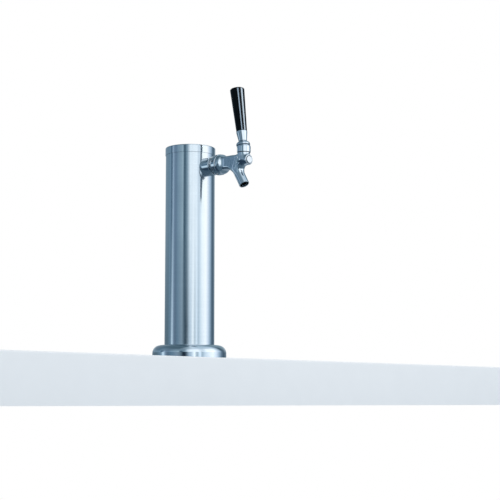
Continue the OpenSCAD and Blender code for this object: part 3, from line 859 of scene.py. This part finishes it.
def make_camera():
    data = bpy.data.cameras.new("camera")
    data.lens, data.sensor_width = CAMERA_LENS, CAMERA_SENSOR
    data.clip_start, data.clip_end = 0.05, 50
    camera = bpy.data.objects.new("camera", data)
    look = Vector((math.sin(CAMERA_YAW) * math.cos(CAMERA_PITCH),
                   math.cos(CAMERA_YAW) * math.cos(CAMERA_PITCH), math.sin(CAMERA_PITCH)))
    camera.location = CAMERA_AT
    camera.rotation_euler = look.to_track_quat("-Z", "Y").to_euler()
    bpy.context.scene.collection.objects.link(camera)
    bpy.context.scene.camera = camera


make_camera()

# ---- counter, tones all round and lamps ------------------------------------------------------

COUNTER_FRONT, COUNTER_DEPTH, COUNTER_WIDTH, COUNTER_THICK = -153, 1650, 4400, 67


def make_counter():
    """The plain pale slab that the tower stands on, its front edge rounded."""
    edge = 2.0
    y0, y1 = COUNTER_FRONT, COUNTER_FRONT + COUNTER_DEPTH
    half, bottom = COUNTER_WIDTH / 2, -COUNTER_THICK
    ring = [(y0 + edge * (1 - math.sin(a)), -edge * (1 - math.cos(a)))
            for a in np.linspace(0, math.pi / 2, 7)]
    ring += [(y0, bottom), (y1, bottom), (y1, 0)]
    verts = [(x, y, z) for x in (-half, half) for y, z in ring]
    count = len(ring)
    faces = [(k, (k + 1) % count, (k + 1) % count + count, k + count) for k in range(count)]
    faces += [tuple(range(count))[::-1], tuple(range(count, 2 * count))]
    slab = mesh_piece("counter", verts, faces)
    slab.data.set_sharp_from_angle(angle=math.radians(30))
    made, sh = new_material("counter_paint")
    mottle = sh.noise((30, 30, 30), detail=3.0)
    colour = sh.blend(mottle, rgba(linear(250, 244, 241)), rgba(linear(246, 240, 237)))
    finished(made, sh, Base_Color=colour, Roughness=0.5)
    slab.data.materials.append(made)
    slab.visible_glossy = False


# The tones all round the tower: degrees round to the right from behind the camera and the tone
# there, low down, at the foot of the walls, at eye height, higher up and overhead. They weren't
# designed: they began as tones sampled from the photograph, by the direction that the steel reflects,
# and many are kept almost unchanged, which is a fault.
FLOOR = [
    (-180, (120, 136, 150)), (-150, (108, 124, 138)), (-122, (44, 62, 80)), (-80, (32, 48, 66)),
    (-40, (66, 88, 104)), (60, (74, 94, 110)), (95, (92, 112, 126)), (130, (80, 100, 114)),
    (180, (120, 136, 150)),
]
WALL_FEET = [
    (-180, (112, 128, 139)), (-140, (80, 98, 110)), (-119, (74, 97, 110)), (-99, (96, 122, 140)),
    (-93, (128, 153, 172)), (-87, (200, 224, 240)), (-82, (152, 176, 195)), (-76, (104, 126, 145)),
    (-68, (78, 99, 118)), (-54, (84, 112, 132)), (-38, (108, 129, 147)), (-28, (100, 119, 132)),
    (-22, (76, 94, 108)), (-17, (10, 24, 36)), (-10, (18, 34, 48)), (-5, (72, 92, 107)),
    (2, (146, 168, 186)), (8, (160, 183, 202)), (19, (238, 250, 255)), (24, (160, 179, 193)),
    (28, (144, 165, 180)), (36, (214, 234, 248)), (43, (146, 168, 185)), (52, (186, 206, 221)),
    (66, (216, 229, 240)), (82, (234, 245, 255)), (97, (198, 215, 231)), (110, (138, 161, 181)),
    (124, (84, 106, 124)), (137, (60, 80, 96)), (155, (90, 108, 122)), (180, (112, 128, 139)),
]
WALLS = [
    (-180, (146, 162, 172)), (-150, (110, 130, 144)), (-112, (100, 126, 144)),
    (-103, (110, 137, 158)), (-97, (64, 91, 112)), (-90, (72, 98, 119)), (-83, (146, 170, 193)),
    (-77, (104, 126, 148)), (-66, (96, 121, 143)), (-55, (118, 144, 163)), (-37, (134, 158, 172)),
    (-32, (152, 176, 190)), (-28, (94, 120, 135)), (-23, (34, 60, 78)), (-18, (90, 117, 134)),
    (-9, (140, 163, 178)), (-4, (188, 206, 218)), (4, (232, 245, 252)), (11, (221, 233, 241)),
    (32, (234, 246, 254)), (41, (198, 213, 225)), (50, (210, 226, 238)), (60, (242, 253, 255)),
    (84, (252, 255, 255)), (104, (182, 202, 221)), (113, (158, 180, 200)), (121, (106, 129, 147)),
    (130, (70, 91, 108)), (143, (82, 101, 115)), (165, (150, 165, 174)), (180, (146, 162, 172)),
]
WALL_TOPS = [
    (-180, (120, 138, 150)), (-150, (96, 112, 124)), (-120, (78, 104, 122)), (-95, (98, 122, 140)),
    (-70, (88, 110, 128)), (-45, (106, 130, 146)), (-22, (102, 124, 140)), (-12, (110, 132, 146)),
    (-4, (176, 196, 210)), (8, (222, 236, 247)), (30, (224, 236, 246)), (48, (190, 207, 221)),
    (62, (238, 248, 254)), (90, (236, 248, 255)), (108, (176, 194, 210)), (122, (86, 108, 124)),
    (131, (52, 74, 88)), (146, (106, 128, 140)), (180, (120, 138, 150)),
]
CEILING = [
    (-180, (116, 140, 152)), (-140, (74, 97, 111)), (-40, (66, 88, 102)), (-8, (132, 152, 166)),
    (18, (182, 200, 214)), (60, (160, 182, 198)), (108, (168, 188, 204)), (134, (108, 132, 148)),
    (180, (116, 140, 152)),
]
LEVELS = [(-17, -6, WALL_FEET), (2.4, 7.8, WALLS), (13, 22, WALL_TOPS), (32, 52, CEILING)]
WALL_GAIN = 1.45


def make_world():
    """The tones all round, and white where the camera sees past the tower."""
    world = bpy.data.worlds.new("studio")
    bpy.context.scene.world = world
    world.use_nodes = True
    sh = Shader(world.node_tree)
    axes = sh.add("SeparateXYZ", Vector=sh.add("TexCoord", 0))
    x, y, z = axes.node.outputs
    back = (-math.sin(CAMERA_YAW), -math.cos(CAMERA_YAW))
    right = (math.cos(CAMERA_YAW), -math.sin(CAMERA_YAW))
    toward = sh.math("MULTIPLY_ADD", x, back[0], sh.math("MULTIPLY", y, back[1]))
    across = sh.math("MULTIPLY_ADD", x, right[0], sh.math("MULTIPLY", y, right[1]))
    turn = sh.math("ARCTAN2", across, toward)
    around = sh.stretch(0, 1, turn, -math.pi, math.pi)
    rise = sh.math("ARCSINE", z)
    tones = sh.ramp(around, FLOOR)
    for start, stop, level in LEVELS:
        share = sh.stretch(0, 1, rise, math.radians(start), math.radians(stop))
        tones = sh.blend(share, tones, sh.ramp(around, level))
    lit = sh.add("Background", Color=tones, Strength=WALL_GAIN)
    white = sh.add("Background", Color=(1, 1, 1, 1), Strength=1.0)
    seen = sh.add("LightPath", 0)
    shown = sh.add("MixShader", i0=seen, i1=lit, i2=white)
    sh.add("OutputWorld", Surface=shown)


def make_lamp(name, degrees, height, distance, size, power, tint=(1.0, 0.98, 0.95), only=None):
    """A soft rectangular lamp, so many degrees round to the right from behind the camera."""
    data = bpy.data.lights.new(name, "AREA")
    data.shape, (data.size, data.size_y) = "RECTANGLE", size
    data.energy = power
    data.color = tint
    lamp = bpy.data.objects.new(name, data)
    turn = math.radians(degrees)
    back = Vector((-math.sin(CAMERA_YAW), -math.cos(CAMERA_YAW), 0))
    right = Vector((math.cos(CAMERA_YAW), -math.sin(CAMERA_YAW), 0))
    target = Vector(PIVOT) * MM
    lamp.location = target + (back * math.cos(turn) + right * math.sin(turn)) * distance
    lamp.location.z += height
    lamp.rotation_euler = (lamp.location - target).to_track_quat("Z", "Y").to_euler()
    bpy.context.scene.collection.objects.link(lamp)
    if only:
        lamp.visible_diffuse = False
        group = bpy.data.collections.new(name + "_only")
        group.objects.link(only)
        lamp.light_linking.receiver_collection = group
    return lamp


make_counter()
make_world()
make_lamp("key", 55, 1.6, 1.8, (1.4, 1.4), 26).visible_glossy = False
handle = bpy.data.objects["grip_shell"]
make_lamp("grip_strip_left", 9, 0.6, 1.6, (0.5, 1.6), 125, (0.6, 0.8, 1.0), only=handle)
make_lamp("grip_strip_right", 77, 0.6, 1.6, (0.85, 1.6), 220, (0.72, 0.87, 1.0), only=handle)
bpy.context.scene.view_settings.view_transform = "Standard"
